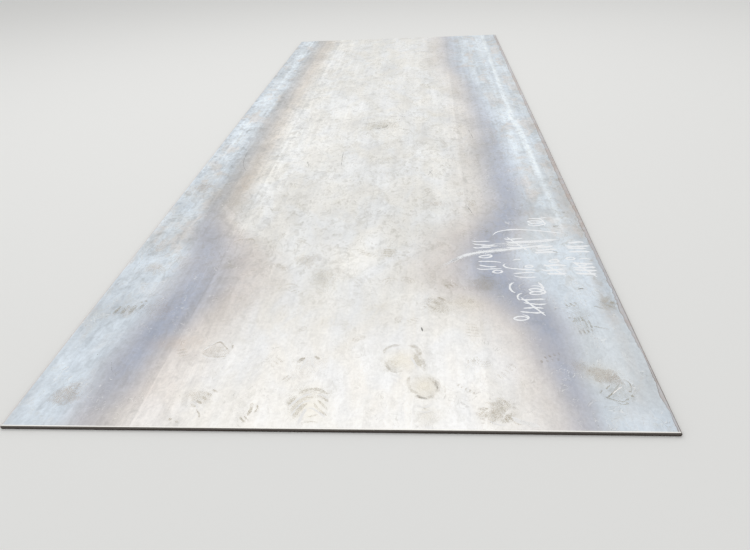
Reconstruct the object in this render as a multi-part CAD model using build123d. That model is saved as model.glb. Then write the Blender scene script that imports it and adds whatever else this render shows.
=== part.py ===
from build123d import *
import math
import os

# One hot-rolled structural steel plate, as cut from a rolled strip and laid flat in a yard.
# Units are millimetres. X runs across the width, Y along the rolling direction, +Z is up.
# The origin is the centre of the underside, so the plate lies on the plane z = 0.

# Size of the plate
plate_length = 4290.0
plate_width = 1510.0
plate_thickness = 9.75

# Mill edge: the long sides were never trimmed, so each is the round nose that the rolls left
nose_bulge = 2.4
nose_corner_radius = 2.6

# Sheared end: the blade draws the face down, wipes a smooth land, then the rest breaks off
rollover_length = 1.8
rollover_height = 0.9
land_height = 3.2
break_angle = 4.0


def rolled_section():
    """The section across the width: two flat faces between bulging noses with round corners."""
    flat_half = plate_width / 2 - nose_bulge
    mid_height = plate_thickness / 2
    with BuildSketch(Plane.XZ.offset(-plate_length)) as section:
        with BuildLine():
            Line((-flat_half, 0), (flat_half, 0))
            ThreePointArc((flat_half, 0), (plate_width / 2, mid_height), (flat_half, plate_thickness))
            Line((flat_half, plate_thickness), (-flat_half, plate_thickness))
            ThreePointArc((-flat_half, plate_thickness), (-plate_width / 2, mid_height), (-flat_half, 0))
        make_face()
        fillet(section.vertices(), nose_corner_radius)
    return section.sketch


def sheared_outline():
    """The outline seen from the side, with a sheared end at the front and one turned over at the rear."""
    half = plate_length / 2
    land_top = plate_thickness - rollover_height
    land_foot = land_top - land_height
    setback = land_foot * math.tan(math.radians(break_angle))
    with BuildSketch(Plane.YZ.offset(-plate_width)) as outline:
        with BuildLine():
            # front end, at -Y: the break, the land, then the rollover up to the top face
            Line((-half + setback, 0), (-half, land_foot))
            Line((-half, land_foot), (-half, land_top))
            TangentArc((-half + rollover_length, plate_thickness), (-half, land_top), tangent=(-1, 0))
            # top face
            Line((-half + rollover_length, plate_thickness), (half - setback, plate_thickness))
            # rear end, at +Y: the same, but cut from below
            Line((half - setback, plate_thickness), (half, plate_thickness - land_foot))
            Line((half, plate_thickness - land_foot), (half, rollover_height))
            TangentArc((half - rollover_length, 0), (half, rollover_height), tangent=(1, 0))
            # underside
            Line((half - rollover_length, 0), (-half + setback, 0))
        make_face()
    return outline.sketch


def steel_plate():
    """A length of rolled strip, longer than the plate, is cut to the outline of the two sheared ends."""
    strip = extrude(rolled_section(), 2 * plate_length)
    cut_to_length = extrude(sheared_outline(), 2 * plate_width)
    plate = strip & cut_to_length
    plate.label = "plate"
    return plate


os.makedirs("parts", exist_ok=True)
export_step(steel_plate(), "parts/plate.step")
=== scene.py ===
"""A hot-rolled steel plate: its rolled and sheared surface, yard dust, shoe prints, scratches and chalk."""

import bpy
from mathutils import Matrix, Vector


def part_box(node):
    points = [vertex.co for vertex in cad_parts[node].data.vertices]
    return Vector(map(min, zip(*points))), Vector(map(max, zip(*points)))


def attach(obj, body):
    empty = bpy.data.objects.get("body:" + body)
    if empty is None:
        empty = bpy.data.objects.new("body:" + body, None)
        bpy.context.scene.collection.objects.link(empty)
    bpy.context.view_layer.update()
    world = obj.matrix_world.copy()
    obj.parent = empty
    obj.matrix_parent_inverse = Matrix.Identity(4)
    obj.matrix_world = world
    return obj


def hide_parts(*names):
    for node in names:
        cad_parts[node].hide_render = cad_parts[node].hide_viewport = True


bl_info = {
    "name": "Hot-rolled steel plate",
    "version": (1, 0, 0),
    "blender": (4, 5, 0),
    "location": "3D View > Sidebar > Steel plate",
    "description": "Builds the surface and marks of a hot-rolled steel plate, and the stage it lies on",
    "category": "Object",
}

import math
from types import SimpleNamespace

import bmesh
import bpy
import numpy as np
from bpy.props import FloatProperty, FloatVectorProperty, PointerProperty
from mathutils import Matrix, Vector

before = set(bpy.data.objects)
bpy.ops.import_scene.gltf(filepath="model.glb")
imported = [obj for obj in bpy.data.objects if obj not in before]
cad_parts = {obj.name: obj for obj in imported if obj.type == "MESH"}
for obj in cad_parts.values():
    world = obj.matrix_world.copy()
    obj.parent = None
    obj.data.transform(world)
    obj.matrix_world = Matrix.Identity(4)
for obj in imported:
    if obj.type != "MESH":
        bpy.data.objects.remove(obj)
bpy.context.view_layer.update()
plate_low, plate_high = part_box("plate")
plate_width = plate_high[0] - plate_low[0]
plate_length = plate_high[1] - plate_low[1]
plate_thickness = plate_high[2] - plate_low[2]
half_width, half_length = plate_width / 2, plate_length / 2


def shown(red, green, blue):
    """The linear colour of a tone that reads as these 0 to 255 levels on a screen."""
    levels = np.array([red, green, blue]) / 255
    linear = np.where(levels > 0.04045, ((levels + 0.055) / 1.055) ** 2.4, levels / 12.92)
    return tuple(float(level) for level in linear)


# Sizes and colours that a user would change

def length(name, description, default):
    return FloatProperty(name=name, description=description, default=default, unit="LENGTH", precision=5)


def colour(name, description, *levels):
    """A colour property, set at first to the tone that reads as these levels."""
    return FloatVectorProperty(
        name=name, description=description, default=shown(*levels), size=3, subtype="COLOR",
    )


class PlateForm(bpy.types.PropertyGroup):
    """Sizes of the rolled edge and the sheared end."""

    bulge: length("Nose bulge", "How far the rolled edge stands out at mid thickness", 0.0024)
    corner: length("Nose corner", "Radius between a face and the rolled edge", 0.0026)
    rollover_length: length("Rollover length", "Face drawn down by the shear blade", 0.0018)
    rollover_height: length("Rollover height", "Depth that the blade drew the face down", 0.0009)
    land_height: length("Land height", "Smooth band that the blade wiped", 0.0032)
    break_angle: FloatProperty(
        name="Break angle", description="Lean of the broken part of the end",
        default=math.radians(4), subtype="ANGLE",
    )
    ragged: length("Ragged edge", "Depth of the wavering along the rolled edge", 0.0007)
    tear: length("Tear depth", "Depth of the tearing in the broken part of the end", 0.00025)
    dip: length("Dip", "How far the faces wander from flat", 0.0002)
    coat: length("Mark coat", "Room left above the surface for dust and chalk", 0.00025)
    step_across: length("Step across", "Width of a mesh cell on the faces", 0.010)
    step_along: length("Step along", "Length of a mesh cell on the faces", 0.020)


class PlateColours(bpy.types.PropertyGroup):
    """Colours of the scale, rust, dust and chalk, and painted light: the scale tones are partly the scale's
    own tint and partly a painted sheen.
    """

    # The next eight scale tones are partly the scale's own tint and partly a painted sheen, which paints the
    # dark scale pale as under a bright sky
    centre: colour("Centre", "Pale scale in the middle of the width", 236, 237, 236)
    warm: colour("Warm edge", "Warmer scale beside the dark bands", 217, 209, 204)
    lavender: colour("Dark band", "Violet-grey scale between the middle and the sides", 174, 181, 198)
    dusk: colour("Dark band, far left", "Greyer scale farther along the left band", 176, 180, 187)
    honey: colour("Warm edge, far left", "Yellower scale beside the far left band", 220, 212, 203)
    # Partly the scale's blue tint and partly a painted reflection of the sky along the sides
    side: colour("Side", "Blue-grey scale along the sides", 212, 222, 232)
    streak: colour("Streak", "Bright lengthwise streak near the right side", 236, 244, 250)
    # Painted highlight on the scale towards the front end; the same pale tone serves for pale scuffs and for
    # scale that soles bared
    glare_and_pale_wear: colour("Front", "Palest scale, near the front end", 252, 251, 249)
    dust: colour("Dust", "Olive-grey yard dust", 162, 148, 108)
    grime: colour("Grime", "Thin grey dust everywhere", 150, 146, 134)
    tan: colour("Tan dust", "Brownish dust with some rust in it", 176, 150, 120)
    film: colour("Film", "Thin cream dust under the prints at the front", 250, 240, 216)
    cream: colour("Cream", "Warm clouds in the scale", 236, 229, 217)
    ash: colour("Ash", "Greyer clouds along the sides", 207, 209, 209)
    cool: colour("Cool", "Cool clouds in the scale", 238, 240, 244)
    rust: colour("Rust", "Thin rust along the right edge", 186, 166, 156)
    line: colour("Rust line", "Dark line that bounds the rust", 116, 100, 94)
    # Scale and rust on the rolled edge; along the right side this tone also paints a shadow line
    edge: colour("Rolled edge", "Scale and rust on the rolled edge", 112, 97, 88)
    # The sheared end's land and break: partly their own colour and partly painted shade, darker as the end
    # looks in shadow
    land: colour("Land", "Wiped band of a sheared end", 108, 102, 97)
    tear: colour("Break", "Torn part of a sheared end", 70, 62, 57)
    # Painted highlight along the rolled-over rim at each sheared end
    arris_highlight: colour("Arris", "Bright rim where the blade drew the face down", 250, 248, 243)
    speck: colour("Speck", "Small dark specks", 88, 84, 80)
    lug: colour("Lug", "Darker dust pressed in by a sole", 160, 146, 108)
    scratch: colour("Scratch", "Dark scratch in the scale", 96, 94, 92)
    chalk: colour("Chalk", "Yard chalk", 251, 253, 255)


class StageSettings(bpy.types.PropertyGroup):
    """Floor, light and camera."""

    floor: colour("Floor", "Plain pale floor", 240, 240, 238)
    world: FloatProperty(name="World", description="Strength of the light from all round", default=0.62)
    lamp: FloatProperty(
        name="Lamp", description="Power of the overhead soft box", default=95.0, unit="POWER",
    )
    glow: FloatProperty(
        name="Far lamp", description="Power of the soft box beyond the far end", default=12.0, unit="POWER",
    )


# Shapes worked out on grids

# Where the faces begin to dip and where they dip in full, in from each side
DIP_STARTS, DIP_FULL = 0.004, 0.06

# Dust keeps this far in from the rolled edges, and every mark this far in from the front end
SIDE_CLEARANCE, END_CLEARANCE = 0.006, 0.0025

# Points nearer than the first are welded, and edges shorter than the second are dropped
WELD_DISTANCE, LEAST_EDGE = 2e-7, 1e-7

# Faces that meet at more than this have a crisp edge between them
CRISP_ANGLE = math.radians(30)


def sines(place, longest, shortest, count, seed):
    """A sum of sines along a line, each of its own length and start, long ones higher. About -1 to 1."""
    draw = np.random.default_rng(seed)
    lengths = np.geomspace(longest, shortest, count)
    heights = np.sqrt(lengths / longest)
    starts = draw.uniform(0, 2 * np.pi, count)
    turns = np.asarray(place)[..., None] / lengths
    return (heights * np.sin(2 * np.pi * turns + starts)).sum(-1) / heights.sum() * 1.4


def ripples(x, y, longest, shortest, count, seed):
    """A sum of plane sine waves that run in all directions over the face. About -1 to 1."""
    draw = np.random.default_rng(seed)
    lengths = np.geomspace(longest, shortest, count)
    bearings = draw.uniform(0, np.pi, count)
    starts = draw.uniform(0, 2 * np.pi, count)
    along = np.asarray(x)[..., None] * np.cos(bearings) + np.asarray(y)[..., None] * np.sin(bearings)
    return np.sin(2 * np.pi * along / lengths + starts).sum(-1) / math.sqrt(count) / 1.4


def half_wave(wave):
    """A wave of -1 to 1 as a share from 0 to 1."""
    return 0.5 + 0.5 * np.clip(wave, -1, 1)


def ease(value, start, end):
    """0 before start, 1 after end, and a smooth step between: 3 t squared less 2 t cubed."""
    t = np.clip((np.asarray(value, float) - start) / (end - start), 0, 1)
    return t * t * (3 - 2 * t)


def swung(x, y, across, along, turn):
    """Points at these offsets from x, y, turned about it by so many degrees."""
    angle = math.radians(turn)
    at_x = x + across * math.cos(angle) - along * math.sin(angle)
    at_y = y + across * math.sin(angle) + along * math.cos(angle)
    return np.stack([at_x, at_y], -1)


def face_dip(x, y, form):
    """Depth of the face below flat: slow ripples, fading to nothing at the four sides."""
    inside = ease(half_width - np.abs(x), DIP_STARTS, DIP_FULL)
    inside = inside * ease(half_length - np.abs(y), DIP_STARTS, DIP_FULL)
    return form.dip * inside * half_wave(ripples(x, y, 1.4, 0.35, 5, 11))


def face_height(x, y, form):
    """Height of the top face under the marks."""
    return plate_thickness - form.coat - face_dip(x, y, form)


def grid_faces(columns, rows, start=0):
    """Quads of a grid whose points run row by row, anticlockwise with x to the right and rows upward."""
    first = start + np.arange(rows - 1)[:, None] * columns + np.arange(columns - 1)[None, :]
    first = first.ravel()
    return np.stack([first, first + 1, first + columns + 1, first + columns], 1)


def new_piece(name, points, faces, finish, weld=False):
    """Makes a mesh object from arrays, welds points that meet if asked, and rides it on the plate."""
    mesh = bpy.data.meshes.new(name)
    mesh.from_pydata(points, [], faces)
    if weld:
        work = bmesh.new()
        work.from_mesh(mesh)
        bmesh.ops.remove_doubles(work, verts=work.verts, dist=WELD_DISTANCE)
        bmesh.ops.dissolve_degenerate(work, edges=work.edges, dist=LEAST_EDGE)
        work.to_mesh(mesh)
        work.free()
    mesh.validate()
    if not mesh.polygons:
        raise RuntimeError(f"{name} has no faces")
    mesh.shade_smooth()
    mesh.set_sharp_from_angle(angle=CRISP_ANGLE)
    mesh.materials.append(finish)
    piece = bpy.data.objects.new(name, mesh)
    bpy.context.scene.collection.objects.link(piece)
    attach(piece, "root")
    return piece


def places(mesh):
    """The mesh's points as an array of x, y, z."""
    found = np.empty(len(mesh.vertices) * 3, np.float32)
    mesh.vertices.foreach_get("co", found)
    return found.reshape(-1, 3).astype(float)


def write_places(mesh, points):
    mesh.vertices.foreach_set("co", points.astype(np.float32).ravel())
    mesh.update()


def write_layer(mesh, name, values):
    """Stores one number for each point, for the finish to read."""
    layer = mesh.attributes.new(name, "FLOAT", "POINT")
    layer.data.foreach_set("value", values.astype(np.float32))


def write_map(mesh, u, v):
    """Stores the mark's own map on each face corner."""
    layer = mesh.uv_layers.new(name="mark")
    corner = np.empty(len(mesh.loops), np.int32)
    mesh.loops.foreach_get("vertex_index", corner)
    layer.uv.foreach_set("vector", np.stack([u[corner], v[corner]], 1).astype(np.float32).ravel())


def nose_profile(form, thickness):
    """Half of the rolled edge, from its tip up to the flat face.

    Two arcs: one of the bulging nose through the tip, and one of the corner radius that is tangent to
    that nose and to the face. Gives the distance in from the tip and the height above mid thickness.
    """
    middle = thickness / 2
    nose = (middle ** 2 + form.bulge ** 2) / (2 * form.bulge)
    rise = middle - form.corner
    reach = math.sqrt((nose - form.corner) ** 2 - rise ** 2)
    meeting = math.atan2(rise, reach)
    low = np.linspace(0, meeting, 5)
    high = np.linspace(meeting, math.pi / 2, 6)[1:]
    inward = np.concatenate([nose - nose * np.cos(low), nose - reach - form.corner * np.cos(high)])
    upward = np.concatenate([nose * np.sin(low), rise + form.corner * np.sin(high)])
    return inward, upward


def plate_shell(form):
    """The plate's whole surface on four grids.

    The top is a height over x and y: the lower of the rolled section's height at x and the rollover's
    height at y. The front end is a grid over x and z that follows the land and the leaning break.
    The same two grids turned half a turn about the x axis are the underside and the rear end.
    """
    thickness = plate_thickness - form.coat
    middle = thickness / 2
    land_top = thickness - form.rollover_height
    land_foot = land_top - form.land_height
    lean = math.tan(form.break_angle)
    inward, upward = nose_profile(form, thickness)

    flat = half_width - inward[-1]
    cells = int(round(2 * flat / form.step_across))
    inner = np.linspace(-flat, flat, cells + 1)[1:-1]
    x = np.concatenate([-half_width + inward, inner, half_width - inward[::-1]])
    high = middle + np.concatenate([upward, np.full(len(inner), middle), upward[::-1]])
    low = thickness - high

    # rows close together at each end, for the rollover, then even steps
    end_rows = np.array([0, 0.0003, 0.0007, 0.0012, 0.0018, 0.004, 0.009])
    reach = half_length - 2 * end_rows[-1]
    rows = int(round(2 * reach / form.step_along))
    between = np.linspace(-reach, reach, rows + 1)
    front_end = -half_length + np.maximum(0, land_foot - high) * lean
    rear_end = half_length - np.maximum(0, high - (thickness - land_foot)) * lean
    y = np.concatenate([
        front_end[None, :] + end_rows[:, None],
        np.repeat(between[:, None], len(x), 1),
        rear_end[None, :] - end_rows[::-1, None],
    ])
    curve = (form.rollover_length ** 2 + form.rollover_height ** 2) / (2 * form.rollover_height)
    into = np.clip(form.rollover_length - (y + half_length), 0, form.rollover_length)
    drawn_down = thickness - curve + np.sqrt(curve ** 2 - into ** 2)
    top = np.stack([np.broadcast_to(x, y.shape), y, np.minimum(high[None, :], drawn_down)], -1)

    share = np.concatenate([np.linspace(0, land_foot, 7), np.linspace(land_foot, land_top, 4)[1:]]) / land_top
    face_top = np.minimum(high, land_top)
    z = low[None, :] + share[:, None] * (face_top - low)[None, :]
    end = np.stack([np.broadcast_to(x, z.shape), -half_length + np.maximum(0, land_foot - z) * lean, z], -1)

    half_turn, lift = np.array([1, -1, -1]), np.array([0, 0, thickness])
    points, faces, start = [], [], 0
    for grid in (top, end, top * half_turn + lift, end * half_turn + lift):
        faces.append(grid_faces(grid.shape[1], grid.shape[0], start))
        points.append(grid.reshape(-1, 3))
        start += grid.shape[0] * grid.shape[1]
    return np.concatenate(points), np.concatenate(faces).tolist()


def weather_shell(points, form):
    """Moves the shell's points inward only: ripples on the faces, wavering rolled edges, torn breaks."""
    x, y, z = points.T
    thickness = plate_thickness - form.coat
    middle = thickness / 2
    on_face = ease(np.abs(z - middle), middle - 0.0002, middle)
    new_z = z - np.sign(z - middle) * face_dip(x, y, form) * on_face

    # each long side and each end reads its own stretch of the same sum of sines
    waver = half_wave(sines(y + np.where(x < 0, 0.0, 37.0), 0.9, 0.045, 9, 21))
    new_x = x - np.sign(x) * form.ragged * waver * ease(np.abs(x), half_width - 0.012, half_width)

    front = y < 0
    break_height = np.where(front, z, thickness - z)
    foot = thickness - form.rollover_height - form.land_height
    torn = ease(break_height, 0, 0.25 * foot) * ease(foot - break_height, 0, 0.3 * foot)
    ripple = half_wave(sines(x + np.where(front, 0.0, 11.0), 0.16, 0.028, 8, 31))
    at_end = ease(np.abs(y), half_length - 0.0009, half_length - 0.0006)
    new_y = y - np.sign(y) * form.tear * ripple * torn * at_end
    return np.stack([new_x, new_y, new_z], 1)


# Bands of scale across the width

# At each station along the plate: y, then the left band's outer and inner bound, the right band's inner
# and outer bound, and how dark the left and the right band are
BANDS = (
    (-2.15, -0.61, -0.53, 0.55, 0.59, 0.42, 0.52),
    (-2.0, -0.60, -0.50, 0.535, 0.58, 0.75, 0.78),
    (-1.85, -0.60, -0.47, 0.505, 0.592, 0.95, 1.0),
    (-1.7, -0.58, -0.43, 0.465, 0.60, 1.0, 1.0),
    (-1.55, -0.58, -0.37, 0.32, 0.55, 0.93, 0.97),
    (-1.4, -0.57, -0.37, 0.31, 0.50, 0.84, 0.97),
    (-1.25, -0.58, -0.43, 0.355, 0.53, 0.74, 0.95),
    (-1.12, -0.59, -0.53, 0.41, 0.567, 0.72, 0.92),
    (-1.0, -0.61, -0.545, 0.445, 0.59, 0.66, 0.92),
    (-0.75, -0.61, -0.54, 0.45, 0.592, 0.62, 0.90),
    (-0.5, -0.61, -0.54, 0.455, 0.58, 0.58, 0.70),
    (0.3, -0.61, -0.545, 0.45, 0.56, 0.50, 0.62),
    (0.8, -0.61, -0.54, 0.41, 0.52, 0.45, 0.42),
    (1.2, -0.62, -0.54, 0.34, 0.46, 0.4, 0.5),
    (2.15, -0.62, -0.54, 0.33, 0.44, 0.4, 0.5),
)
STATIONS, LEFT_OUTER, LEFT_INNER, RIGHT_INNER, RIGHT_OUTER, LEFT_DEPTH, RIGHT_DEPTH = zip(*BANDS)


def along_bands(y, values, seed, waver=0.008):
    """A value set at the stations, rounded off between them, with a little wavering."""
    shifts = np.linspace(-0.07, 0.07, 5)
    smooth = np.mean([np.interp(y + shift, STATIONS, values) for shift in shifts], 0)
    return smooth + waver * sines(y, 0.8, 0.07, 7, seed)


def hump(y, centre, spread):
    """1 at the centre, falling away on both sides: exp(-r squared), with r in spreads from the centre."""
    return np.exp(-((y - centre) / spread) ** 2)


def scale_bands(x, y):
    """How much of each scale colour a point has: side, dark band and warm, each from 0 to 1."""
    left_out, left_in = along_bands(y, LEFT_OUTER, 41), along_bands(y, LEFT_INNER, 42)
    right_in, right_out = along_bands(y, RIGHT_INNER, 43), along_bands(y, RIGHT_OUTER, 44)
    outward = 0.5 + 0.22 * hump(y, -1.28, 0.2)
    left_mid = left_out * outward + left_in * (1 - outward)
    right_mid = (right_in + right_out) / 2
    shift = 0.04 * ease(y, -1.1, -0.6)
    tight = ease(y, -1.2, -0.8)
    side = np.maximum(
        1 - ease(x, left_out - 0.035, left_mid + 0.01 + 0.025 * tight),
        ease(x, right_mid - 0.015 - shift, right_out + 0.025 - shift),
    )
    left = ease(x, left_out - 0.05 + 0.015 * tight, left_mid)
    left = left * (1 - ease(x, left_mid, left_in + 0.06 - 0.016 * tight))
    right = ease(x, right_in - 0.06, right_mid) * (1 - ease(x, right_mid, right_out + 0.042))
    dark = left * along_bands(y, LEFT_DEPTH, 45, 0.08) + right * along_bands(y, RIGHT_DEPTH, 46, 0.08)
    warm = 1 - ease(x, left_in, left_in + 0.24 - 0.13 * ease(y, -1.55, -1.1))
    reach = 0.18 + 0.06 * hump(y, -1.4, 0.25)
    warm += ease(x, right_in - reach, right_in + 0.02) * (1 - 0.35 * ease(y, -1.25, -0.85))
    return np.clip(side, 0, 1), np.clip(dark, 0, 1), np.clip(warm, 0, 1)


# Olive dust in broad places: x, y, half width, half length, strength. The next three lists are alike.
OLIVE_PLACES = (
    (0.39, -1.54, 0.050, 0.050, 0.9), (-0.36, -1.25, 0.035, 0.045, 0.6), (-0.20, -1.25, 0.018, 0.030, 0.7),
    (0.28, 0.15, 0.09, 0.26, 0.5), (0.06, -1.68, 0.06, 0.09, 0.4), (-0.19, -1.68, 0.05, 0.08, 0.35),
    (0.10, -1.34, 0.040, 0.034, 0.5), (0.20, -1.36, 0.040, 0.040, 0.4), (-0.42, -1.42, 0.036, 0.022, 0.9),
    (-0.16, -1.39, 0.034, 0.034, 0.6), (0.09, -1.53, 0.026, 0.034, 0.2), (-0.24, -1.53, 0.040, 0.018, 0.4),
    (-0.10, -1.50, 0.040, 0.075, 0.6), (0.28, -1.53, 0.028, 0.040, 0.5), (-0.05, -1.73, 0.038, 0.034, 0.6),
    (0.00, -1.76, 0.030, 0.050, 0.4), (0.09, -1.66, 0.030, 0.030, 0.3), (0.18, -1.73, 0.028, 0.040, 0.5),
    (0.715, -1.64, 0.030, 0.040, 1.0), (0.64, -1.70, 0.022, 0.070, 0.5), (-0.006, -0.02, 0.075, 0.065, 0.8),
    (-0.08, -0.08, 0.030, 0.045, 0.6), (-0.38, 0.12, 0.030, 0.040, 0.5), (-0.53, -0.12, 0.040, 0.040, 0.4),
    (-0.44, -0.43, 0.042, 0.022, 0.6), (0.05, -0.27, 0.055, 0.050, 0.5), (0.07, -0.48, 0.040, 0.030, 0.6),
    (0.18, -0.15, 0.040, 0.070, 0.4), (0.30, -0.32, 0.020, 0.060, 0.5), (0.32, -0.52, 0.050, 0.060, 0.4),
    (-0.15, -0.47, 0.016, 0.060, 0.6), (-0.50, -0.78, 0.035, 0.060, 0.4), (-0.30, -0.78, 0.032, 0.034, 0.5),
    (-0.33, -0.87, 0.022, 0.022, 0.8), (-0.12, -0.93, 0.030, 0.036, 0.6), (-0.03, -0.80, 0.026, 0.050, 0.4),
    (0.15, -0.77, 0.036, 0.044, 0.4), (0.20, -0.92, 0.032, 0.032, 0.7), (0.35, -0.78, 0.026, 0.044, 0.5),
    (-0.47, -1.00, 0.026, 0.034, 0.5), (-0.26, -0.98, 0.032, 0.036, 0.5), (0.39, -1.00, 0.016, 0.050, 0.7),
    (0.69, 0.275, 0.018, 0.034, 0.6), (0.20, 0.70, 0.045, 0.090, 0.7), (0.05, 0.75, 0.055, 0.060, 0.5),
    (0.42, 0.15, 0.022, 0.080, 0.4), (-0.36, 0.72, 0.050, 0.070, 0.5), (0.15, 1.90, 0.060, 0.100, 0.5),
    (-0.20, 1.84, 0.060, 0.070, 0.5), (-0.10, 1.30, 0.070, 0.060, 0.4), (0.30, 1.45, 0.050, 0.080, 0.4),
)

# Brownish dust, with some rust in it
TAN_PLACES = (
    (-0.69, -1.30, 0.050, 0.070, 0.3), (-0.65, -1.43, 0.042, 0.032, 0.35), (-0.46, -1.83, 0.095, 0.040, 0.85),
    (-0.648, -2.038, 0.038, 0.036, 0.75), (-0.742, -1.67, 0.018, 0.034, 0.9),
    (-0.69, -0.76, 0.050, 0.060, 0.6), (-0.66, -0.65, 0.028, 0.038, 0.6), (-0.69, -1.12, 0.065, 0.018, 0.6),
    (0.256, -0.96, 0.034, 0.034, 0.45), (-0.66, -0.13, 0.030, 0.025, 0.6), (-0.44, -0.62, 0.030, 0.050, 0.5),
    (0.32, -1.78, 0.060, 0.050, 0.3), (-0.44, 0.10, 0.040, 0.090, 0.4), (0.74, -0.09, 0.020, 0.060, 1.0),
    (0.520, -1.830, 0.050, 0.060, 0.5), (0.590, -1.922, 0.034, 0.030, 0.4), (-0.50, -0.32, 0.05, 0.12, 0.4),
    (-0.47, -0.90, 0.03, 0.10, 0.4), (0.47, -0.92, 0.03, 0.12, 0.5), (0.545, -1.885, 0.034, 0.030, 0.3),
    (0.715, -1.00, 0.032, 0.24, 1.0), (0.715, -1.48, 0.026, 0.16, 0.7), (0.71, -1.68, 0.030, 0.07, 0.8),
    (0.71, -0.62, 0.030, 0.12, 0.8), (-0.65, -0.82, 0.06, 0.12, 0.8), (-0.52, -0.72, 0.05, 0.17, 0.7),
    (0.64, -1.955, 0.045, 0.032, 0.6),
)

# Thin cream film under prints
FILM_PLACES = (
    (-0.052, -2.075, 0.052, 0.058, 1.0), (0.150, -1.900, 0.038, 0.038, 1.0),
    (0.213, -2.000, 0.032, 0.038, 1.0), (0.220, -2.095, 0.030, 0.030, 0.5), (0.63, -1.95, 0.045, 0.040, 0.5),
    (-0.320, -2.040, 0.040, 0.040, 0.4), (0.330, -1.640, 0.050, 0.040, 0.5),
)

# Places where the scale is palest
PALE_PLACES = (
    (0.596, -1.36, 0.032, 0.14, 1.0), (0.24, -2.12, 0.14, 0.05, 0.5), (0.645, -1.52, 0.025, 0.10, 0.5),
    (-0.46, -2.11, 0.05, 0.05, 0.6), (0.59, 0.42, 0.08, 0.30, 0.8), (-0.20, 0.10, 0.16, 0.30, 0.5),
    (-0.72, -0.45, 0.04, 0.25, 0.6), (0.40, -0.75, 0.05, 0.14, 0.5), (0.64, -2.11, 0.05, 0.05, 0.4),
    (-0.10, -1.30, 0.05, 0.10, 0.5), (0.70, 0.35, 0.04, 0.20, 0.5),
)

# Share of the light that one level of 255 stands for, in a pale tone
LEVEL = 2.2 / 240

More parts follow.
